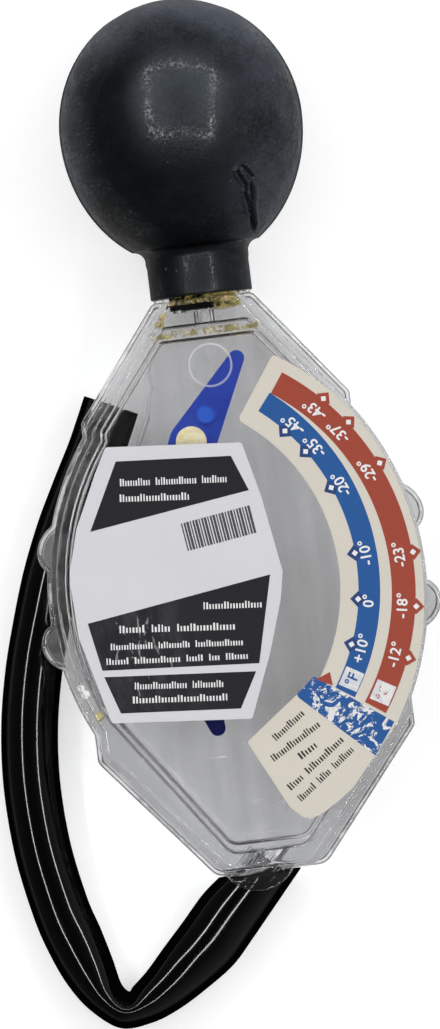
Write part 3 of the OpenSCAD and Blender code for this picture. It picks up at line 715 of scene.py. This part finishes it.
# Painted highlight: the drop is painted pale yellow all over, as a glint on it.
feed(shader,
     base_color=drop_with_painted_glint.tint(cured, (0.95, 0.88, 0.45, 1)),
     roughness=0.12 + 0.25 * pool,
     normal=pool.bumped(0.0006, 0.5))
upward, patchy = where.height(1), where.grain(420, 4, 0.65, 0.8).between(0.42, 0.56)
lip_line = upward.between(50.1, 50.5)
low_band = upward.between(42.8, 43.3) * upward.between(44.9, 44.3)
left_pool = where.apart(at(-10.2, 47.6)).between(0.0026, 0.0014)
right_pool = where.apart(at(5.6, 49.6)).between(0.0038, 0.0022) * upward.between(48.2, 48.7)
glue = 0.72 * patchy * (lip_line + low_band + left_pool + right_pool) + drop_with_painted_glint
clear = where.node("BsdfTransparent", {}, {"Color": (1, 1, 1, 1)})
surface(amber, glue.between(0, 1).mixed(clear, Field(shader.outputs[0])))
seep = prism([Vector(p) for p in (
    (-7.2, 51.2), (7.2, 51.2), (10.4, 46.8), (12.6, 42.7), (-13.4, 42.7), (-12.6, 46.8))], 8.5, 8.7)
for name, mesh in (("cement_seep", seep), ("cement_drop", prism(disc(drop_at, 1.05, 24), 1.95, 2.75, edge=0.7))):
    made = piece(name, mesh, amber, smooth=name == "cement_drop")
    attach(made, "case")
dress("bulb_cement", amber)

# Pointer: blue tinted plastic with a brass slug pressed into its pocket, swinging on a drawn steel pin.
# The fixed stop finger is moulded in the same blue, and painted darker low down as painted shadow under the centre
# label's edge.
blue_tint, shader, where = finish("blue_plastic", specular_ior_level=0.3)
flow = where.grain(160, 4, 0.65)
boss = where.apart(at(-2.5, 25.1)).between(0.0024, 0.0014)
# Painted shadow: the blue is painted dark low on the stop finger, where the centre label shades it.
painted_stop_shadow = where.height(1).between(-34, -38)
pale = flow.tint((0.022, 0.05, 0.35, 1), (0.034, 0.076, 0.49, 1))
feed(shader,
     base_color=painted_stop_shadow.tint(boss.tint(pale, (0.03, 0.12, 0.6, 1)), (0.0005, 0.0045, 0.12, 1)),
     roughness=0.04 + 0.05 * flow,
     normal=flow.bumped(0.0003, 0.1))
brass, shader, where = finish("weight_brass")
pits = where.cells(2600).between(0.1, 0.5)
tarnish = where.grain(700, 4, 0.7).between(0.35, 0.7)
feed(shader,
     base_color=tarnish.tint((1.0, 0.93, 0.63, 1), (0.85, 0.69, 0.35, 1)),
     metallic=0.14 - 0.1 * tarnish,
     roughness=0.5 + 0.2 * tarnish,
     normal=pits.bumped(0.0001, 0.7))
steel, shader, where = finish("pin_steel")
drawn = where.stretched((2500, 2500, 60)).grain(1, 2)
feed(shader,
     base_color=drawn.tint((0.42, 0.42, 0.43, 1), (0.62, 0.62, 0.63, 1)),
     metallic=1 - 0.05 * drawn,
     roughness=0.25 + 0.2 * drawn,
     normal=drawn.bumped(0.00003, 0.5))
dress("pointer_arm", blue_tint)
dress("stop_finger", blue_tint)
dress("brass_weight", brass)
dress("pivot_pin", steel)

# Label film: two self-adhesive labels of coated paper film, stuck to the front face.
# The scale label's flap ends in a broad round tongue, which is cut from its blank.
def film(name, light, dark, stains, rough):
    """Coated paper: fine fibre, and stains of so many to the metre."""
    material, shader, where = finish(name, specular_ior_level=0.4)
    fibre, stain = where.grain(1400, 3, 0.65), where.grain(stains, 4, 0.6)
    feed(shader,
         base_color=(0.5 * stain + 0.3 * fibre).tint(light, dark),
         roughness=rough + 0.2 * stain,
         normal=(fibre + 2 * stain).bumped(0.00012, 0.3))
    return material


cream = film("cream_film", (0.70, 0.655, 0.58, 1), (0.60, 0.555, 0.475, 1), 60, 0.32)
white = film("white_film", (0.71, 0.71, 0.745, 1), (0.60, 0.60, 0.64, 1), 50, 0.36)
dress("centre_label", white)
blank = welded(frame["nodes"]["scale_label"].data.copy(), outward=False)
offcut = [Vector(p) for p in (
    (4.0, -74.0), (4.9, -64.4), (5.9, -66.2), (6.7, -67.1), (7.8, -67.8), (9.2, -68.25), (10.8, -68.3),
    (12.2, -67.95), (14.0, -67.0), (16.5, -65.5), (20.2, -62.9), (24.0, -64.0), (22.0, -74.0))]
scale_label = piece("scale_label_film", carved(blank, ("DIFFERENCE", prism(offcut, 9.0, 10.5))), cream, smooth=False)
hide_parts("scale_label")
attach(scale_label, "case")

# Printed bands: blue and red arcs of the freeze-point scale and the blue bar across its end, in ink on the label.
# The ink is flaked off where the bar and the unit boxes were rubbed.
paper = 9.65
ink_t = 0.02


def polar(r, angle, centre=pivot_uv):
    """A point so far from the pivot or another centre, at an angle from straight up, clockwise."""
    return centre[0] + r * sin(radians(angle)), centre[1] + r * cos(radians(angle))


def thicken(bm, faces, by):
    """Gives flat faces a thickness upwards, or downwards where it is less than 0."""
    for vert in bmesh.ops.extrude_face_region(bm, geom=faces)["geom"]:
        if isinstance(vert, bmesh.types.BMVert):
            vert.co.z += by / 1000
    bmesh.ops.recalc_face_normals(bm, faces=bm.faces)


def slab(outline, coats=1):
    """So many coats of ink on the paper, with this outline."""
    mesh = bpy.data.meshes.new("slab")
    bm = bmesh.new()
    thicken(bm, [bm.faces.new([bm.verts.new(at(u, v, paper)) for u, v in outline])], coats * ink_t)
    bmesh.ops.triangulate(bm, faces=[f for f in bm.faces if len(f.verts) > 4])
    bm.to_mesh(mesh)
    bm.free()
    return mesh


def band(inner_r, outer_r, start, end, centre, steps=80):
    """Outline of an arc."""
    angles = [start + (end - start) * k / steps for k in range(steps + 1)]
    return [polar(outer_r, a, centre) for a in angles] + [polar(inner_r, a, centre) for a in reversed(angles)]


def ink(name, light, dark, rubbed=None, flakes=0.0, scuff=None):
    """Printing ink: two shades, mottled, and flaked down to the paper where it was rubbed or scuffed."""
    material, shader, where = finish(name, specular_ior_level=0.18)
    mottle = where.grain(500, 3, 0.65)
    colour = mottle.tint(light, dark)
    rough = 0.34 + 0.2 * mottle
    if rubbed:
        drawn = where.stretched((1, 0.3, 1), 0.15) if scuff else where
        worn = drawn.grain(330, 5, 0.68, 1.2)
        if scuff:
            near = where.apart(at(*scuff))
            worn = worn + 0.17 * near.between(0.02, 0.002)
            grime = near.between(0.026, 0.008) * drawn.grain(210, 5, 0.7).between(0.42, 0.72)
            colour = (0.14 * grime).tint(colour, rubbed)
        flake = worn.between(0.62 - flakes, 0.64 - flakes)
        colour = flake.tint(colour, rubbed)
        rough = rough + 0.15 * flake
    feed(shader, base_color=colour, roughness=rough, normal=mottle.bumped(0.00008, 0.4))
    return material


def printed(name, mesh, material):
    """A print on a label: it rides on the case with the label."""
    made = piece(name, mesh, material, smooth=False)
    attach(made, "case")


paper_white = (0.80, 0.79, 0.78, 1)
blue_shades = (0.010, 0.082, 0.29, 1), (0.016, 0.105, 0.34, 1)
red_shades = (0.37, 0.062, 0.034, 1), (0.32, 0.053, 0.031, 1)
blue_ink = ink("blue_ink", *blue_shades)
red_ink = ink("red_ink", *red_shades)
flaked_ink = ink("flaked_blue_ink", *blue_shades, paper_white, 0.09)
white_ink = ink("white_ink", (0.86, 0.86, 0.86, 1), (0.78, 0.78, 0.78, 1))
red_centre = (-16.6, -14.2)
printed("scale_blue_band", slab(band(47.9, 52.8, 38.8, 124.0, pivot_uv)), blue_ink)
printed("scale_red_band", slab(band(51.4, 56.8, 34.9, 125.2, red_centre)), red_ink)
printed("scale_end_bar", slab([(10.1, -40.5), (14.7, -36.7), (31.5, -49.1), (26.3, -56.1)]), flaked_ink)
printed("scale_red_wedge", slab([(15.04, -37.45), (18.42, -36.14), (18.72, -39.28)], coats=2), red_ink)

# Printed marks: diamonds of ink on the edges of the bands, with a white square in each.
# They stand at the marked degrees, given as angles about the centre of their band.
blue_marks = {"-45": 47.8, "-35": 55.7, "-20": 67.7, "-10": 86.6, "0": 99.1, "+10": 111.5}
red_marks = {"-43": 46.1, "-37": 53.9, "-29": 65.6, "-23": 87.3, "-18": 99.7, "-12": 111.6}


def stamps_tree():
    """Geometry Nodes: a thin block on every point, turned and sized by the point's own values."""
    tree = bpy.data.node_groups.new("stamped_marks", "GeometryNodeTree")
    for name, kind, way in (("Geometry", "Geometry", "INPUT"), ("Thickness", "Float", "INPUT"),
                            ("Ink", "Material", "INPUT"), ("Geometry", "Geometry", "OUTPUT")):
        tree.interface.new_socket(name, in_out=way, socket_type="NodeSocket" + kind)
    add, join = tree.nodes.new, tree.links.new
    start, end = add("NodeGroupInput"), add("NodeGroupOutput")
    block, stamp = add("GeometryNodeMeshCube"), add("GeometryNodeInstanceOnPoints")
    turn, size = add("GeometryNodeInputNamedAttribute"), add("GeometryNodeInputNamedAttribute")
    turn.data_type = size.data_type = "FLOAT_VECTOR"
    turn.inputs["Name"].default_value = "turn"
    size.inputs["Name"].default_value = "size"
    thick, real = add("ShaderNodeCombineXYZ"), add("GeometryNodeRealizeInstances")
    paint = add("GeometryNodeSetMaterial")
    thick.inputs[0].default_value = thick.inputs[1].default_value = 1
    join(start.outputs["Thickness"], thick.inputs[2])
    join(thick.outputs[0], block.inputs["Size"])
    join(start.outputs["Geometry"], stamp.inputs["Points"])
    join(block.outputs["Mesh"], stamp.inputs["Instance"])
    join(turn.outputs["Attribute"], stamp.inputs["Rotation"])
    join(size.outputs["Attribute"], stamp.inputs["Scale"])
    join(stamp.outputs["Instances"], real.inputs["Geometry"])
    join(real.outputs["Geometry"], paint.inputs["Geometry"])
    join(start.outputs["Ink"], paint.inputs["Material"])
    join(paint.outputs["Geometry"], end.inputs["Geometry"])
    return tree


stamps = stamps_tree()


def stamped(name, marks, material, level):
    """Blocks of ink, each given by its place, turn in degrees, width and height in millimetres."""
    points = bpy.data.meshes.new(name)
    points.from_pydata([at(u, v, level + ink_t / 2) for u, v, _, _, _ in marks], [], [])
    turn = points.attributes.new("turn", "FLOAT_VECTOR", "POINT")
    size = points.attributes.new("size", "FLOAT_VECTOR", "POINT")
    for k, (_, _, angle, width, height) in enumerate(marks):
        turn.data[k].vector = (0, 0, radians(angle))
        size.data[k].vector = (width / 1000, height / 1000, 1)
    carrier = placed(name + "_points", points)
    modifier = carrier.modifiers.new("stamps", "NODES")
    modifier.node_group = stamps
    sockets = {s.name: s.identifier for s in stamps.interface.items_tree if s.in_out == "INPUT"}
    modifier[sockets["Thickness"]] = ink_t / 1000
    modifier[sockets["Ink"]] = material
    printed(name, taken(carrier), material)


diamond, spot = 2.6, 1.05
blue_edge, red_edge = 47.85, 57.0
navy_ink = ink("navy_ink", (0.012, 0.045, 0.17, 1), (0.02, 0.06, 0.2, 1))


def on_points(r, centre, marks, size):
    """Squares standing on a corner, at the marked angles of a band's edge."""
    return [(*polar(r, a, centre), 45 - a, size, size) for a in marks.values()]


stamped("scale_blue_diamonds", on_points(blue_edge, pivot_uv, blue_marks, diamond), navy_ink, paper + ink_t * 0.5)
stamped("scale_red_diamonds", on_points(red_edge, red_centre, red_marks, diamond), red_ink, paper + ink_t * 0.5)
stamped("scale_white_spots",
        on_points(blue_edge, pivot_uv, blue_marks, spot) + on_points(red_edge, red_centre, red_marks, spot),
        white_ink, paper + ink_t * 2)

# Numerals: white degree figures printed in the bands, their tops towards the pivot.
# The two unit signs stand in pale boxes at the end of the bands, worn by rubbing.
def figures(name, words, material, level):
    """Figures as one thin mesh: each a text, its middle, the turn of its reading line, and its size."""
    bm = bmesh.new()
    for text, (u, v), turn, size in words:
        curve = bpy.data.curves.new(name, "FONT")
        curve.body = text
        curve.size = size / 1000
        curve.align_x = curve.align_y = "CENTER"
        curve.offset = size / 1000 * 0.018
        curve.resolution_u = 3
        flat = taken(placed(name, curve))
        xs, ys, _ = zip(*(vert.co for vert in flat.vertices))
        centre = Matrix.Translation((-(min(xs) + max(xs)) / 2, -(min(ys) + max(ys)) / 2, 0))
        flat.transform(Matrix.Translation(at(u, v, level + ink_t)) @ Matrix.Rotation(radians(turn), 4, "Z") @ centre)
        bm.from_mesh(flat)
        bpy.data.meshes.remove(flat)
    thicken(bm, bm.faces[:], -ink_t)
    mesh = bpy.data.meshes.new(name)
    bm.to_mesh(mesh)
    bm.free()
    printed(name, mesh, material)


figure_size, blue_line, red_line = 3.4, 50.1, 53.7
figures("scale_figures",
        [(text + "°", polar(blue_line, a + 0.4), 180 - a, figure_size) for text, a in blue_marks.items()]
        + [(text + "°", polar(red_line, a, red_centre), 180 - a, figure_size) for text, a in red_marks.items()],
        white_ink, paper + ink_t)
box_paper = ink("box_paper", (0.72, 0.73, 0.75, 1), (0.6, 0.62, 0.66, 1), paper_white, 0.1)
unit_angle, f_r, c_r = 120.2, 50.4, 58.15
stamped("scale_unit_boxes",
        [(*polar(f_r, unit_angle), -unit_angle, 4.5, 4.4), (*polar(c_r, unit_angle), -unit_angle, 4.7, 4.6)],
        box_paper, paper + ink_t)
worn_blue = ink("worn_blue_ink", *blue_shades, paper_white, 0.04)
worn_red = ink("worn_red_ink", *red_shades, paper_white, 0.1)
for name, sign, r, worn in (("scale_unit_f", "°F", f_r, worn_blue), ("scale_unit_c", "°C", c_r, worn_red)):
    figures(name, [(sign, polar(r, unit_angle), 180 - unit_angle, figure_size)], worn, paper + 2 * ink_t)

# Centre print: charcoal panels printed on the middle label, scuffed low on the left, with lines of white strokes.
# A row of plain grey stripes is printed between them.
charcoal = ink("charcoal_ink", (0.0055, 0.0055, 0.0095, 1), (0.010, 0.010, 0.016, 1), (0.2, 0.2, 0.21, 1),
               -0.12, scuff=(-27, -27))
for name, outline in (
        ("centre_upper_panel", [(-23.85, 16.94), (2.12, 15.06), (5.23, 6.87), (-31.49, 1.87)]),
        ("centre_middle_panel", [(-34.57, -18.68), (7.69, -12.61), (2.82, -32.23), (-32.56, -29.63)]),
        ("centre_lower_panel", [(-32.35, -31.11), (1.9, -33.95), (-2.55, -41.89), (-29.59, -39.71)])):
    printed(name, slab(outline), charcoal)


def strokes(start, end, height, groups):
    """A line of plain strokes from its start to its end, in groups of so many pairs."""
    du, dv = end[0] - start[0], end[1] - start[1]
    long = hypot(du, dv)
    gap = 0.9
    pitch = long / (sum(groups) + gap * (len(groups) - 1))
    turn = atan2(dv, du)
    marks, done = [], 0.0
    for n, group in enumerate(groups):
        for k in range(2 * group):
            tall = height * (1.0, 0.7, 0.7, 0.95, 0.7, 0.7, 0.7)[(3 * k + n) % 7 if k else 0]
            wide = pitch * (0.3, 0.22, 0.26)[(2 * k + n + group) % 3]
            share = (done + k / 2 + 0.25) * pitch / long
            marks.append((start[0] + du * share - sin(turn) * (tall - height) / 2,
                          start[1] + dv * share + cos(turn) * (tall - height) / 2, turn * 180 / pi, wide, tall))
        done += group + gap
    return marks


def ruled(*lines):
    """The strokes of several lines."""
    return [mark for line in lines for mark in strokes(*line)]


stamped("centre_small_print", ruled(
        ((-23.6, 12.1), (0.7, 10.1), 1.7, (6, 8, 5)),
        ((-24.1, 8.6), (-8.2, 7.2), 1.7, (12,)),
        ((-8.3, -17.8), (5.1, -19.0), 1.6, (10,)),
        ((-27.8, -20.8), (-1.5, -23.2), 1.7, (4, 3, 9)),
        ((-30.2, -24.5), (-0.2, -27.0), 1.5, (8, 6, 9)),
        ((-31.6, -27.7), (0.6, -30.2), 1.5, (4, 8, 3, 2, 4)),
        ((-25.9, -33.9), (-5.7, -35.8), 1.6, (10, 6)),
        ((-26.7, -37.0), (-5.1, -38.9), 1.6, (15,))), white_ink, paper + ink_t)
grey_ink = ink("grey_ink", (0.05, 0.05, 0.055, 1), (0.08, 0.08, 0.085, 1), (0.6, 0.6, 0.62, 1), -0.1)
stripe_turn, stripes, stripe_row, stripe_high = 7.6, 24, 15.6, 6.4
stamped("centre_stripes",
        [(-10.4 + stripe_row * k / (stripes - 1) * cos(radians(stripe_turn)), -1.95 + 2.2 * k / (stripes - 1),
          stripe_turn, 0.3 + 0.14 * (k % 3), stripe_high) for k in range(stripes)], grey_ink, paper)

# Flap print: lines of plain black strokes on the cream flap below the blue bar.
# The ink lies on the film and has flaked a little.
black_ink = ink("black_ink", (0.012, 0.012, 0.013, 1), (0.03, 0.03, 0.03, 1), (0.5, 0.47, 0.42, 1), -0.14)
stamped("scale_small_print", ruled(
        ((3.9, -49.6), (11.2, -44.3), 1.7, (7,)),
        ((2.9, -54.1), (14.5, -47.3), 1.7, (10,)),
        ((9.1, -54.4), (13.3, -51.8), 1.7, (3,)),
        ((5.9, -61.1), (19.3, -51.3), 1.7, (3, 8)),
        ((7.9, -63.9), (21.3, -53.8), 1.7, (4, 3, 5))), black_ink, paper)

# Floor and light: a pale studio sheet that rises a little under the foot, so that bulb, hose and case lie on it.
# Four long soft strips in a square hang over the bulb, in a room that is pale low down and darker overhead.
reach, sheet_glow = 6.0, 0.56
bulb_under, slope, slope_foot, slope_top = 27.4, 0.105, -122.0, 97.0


def floor_height(y):
    """Height of the sheet in millimetres at so far along the case."""
    v = max(slope_foot, min(slope_top, y * 1000 - datum.y * 1000))
    return datum.z * 1000 - bulb_under + slope * (bulb_v - v)


steps = [-reach, -1.0, -0.4, -0.2] + [-0.14 + 0.005 * k for k in range(54)] + [0.2, 0.4, 1.0, reach]
smooth_floor = []
for y in steps:
    near_by = [floor_height(y + 0.002 * k) for k in range(-12, 13)]
    smooth_floor.append(sum(near_by) / len(near_by) / 1000)
sheet_mesh = bpy.data.meshes.new("studio_sheet")
sheet_mesh.from_pydata([(x, y, z) for y, z in zip(steps, smooth_floor) for x in (-reach, reach)], [],
                       [(2 * k, 2 * k + 1, 2 * k + 3, 2 * k + 2) for k in range(len(steps) - 1)])
sheet_paper, shader, where = finish("studio_sheet", specular_ior_level=0.0)
fibre = where.grain(300, 3, 0.6)
feed(shader,
     base_color=fibre.tint((0.61, 0.61, 0.61, 1), (0.59, 0.59, 0.59, 1)),
     roughness=0.9 + 0.1 * fibre,
     normal=fibre.bumped(0.0002, 0.1))
rays = sheet_paper.node_tree.nodes.new("ShaderNodeLightPath")
seen = Field(rays.outputs["Is Camera Ray"]) + Field(rays.outputs["Is Glossy Ray"]) + Field(
    rays.outputs["Is Transmission Ray"])
glow = seen.node("Emission", {}, {"Color": (1, 1, 1, 1), "Strength": sheet_glow * seen.between(0, 0.5)})
surface(sheet_paper, seen.node("AddShader", {}, {0: Field(shader.outputs[0]), 1: glow}))
piece("studio_sheet", sheet_mesh, sheet_paper)

world = bpy.data.worlds.new("room")
bpy.context.scene.world = world
world.use_nodes = True
sky = world.node_tree.nodes["Background"]
way = Field(world.node_tree.nodes.new("ShaderNodeTexCoord").outputs["Generated"])
height = way.node("SeparateXYZ", {}, {"Vector": way}, 2)
shade = height.node("ValToRGB", {"stops": [(0.03, 0.6), (0.3, 0.25), (1.0, 0.05)]}, {"Fac": height})
aside = way.node("SeparateXYZ", {}, {"Vector": way}, 0).between(-0.7, 0.9)
dim = shade.node("VectorMath", {"operation": "SCALE"}, {0: shade, "Scale": 0.4 + aside})
world.node_tree.links.new(dim.socket, sky.inputs["Color"])

glare, across_share, strip_wide, away, lifted = 31.0, 0.8, 0.16, 3.5, radians(22.95)
half_wide, half_long = away * tan(radians(31.2)), away * tan(radians(29.75))
ring = (Matrix.Translation(at(0, bulb_v)) @ Matrix.Rotation(lean, 4, "Z") @ Matrix.Rotation(-lifted, 4, "X")
        @ Matrix.Translation((0, 0, away)))
for u, v, long, turn in (
        (-half_wide, 0, 2 * half_long + strip_wide, pi / 2), (half_wide, 0, 2 * half_long + strip_wide, pi / 2),
        (0, -half_long, 2 * half_wide - strip_wide, 0), (0, half_long, 2 * half_wide - strip_wide, 0)):
    lamp = bpy.data.lights.new("strip", "AREA")
    lamp.shape = "RECTANGLE"
    lamp.size, lamp.size_y = long, strip_wide
    lamp.energy = (glare if turn else across_share * glare) * pi * long * strip_wide
    strip = placed("strip", lamp)
    strip.matrix_world = ring @ Matrix.Translation((u, v, 0)) @ Matrix.Rotation(turn, 4, "Z")
    strip.visible_camera = False
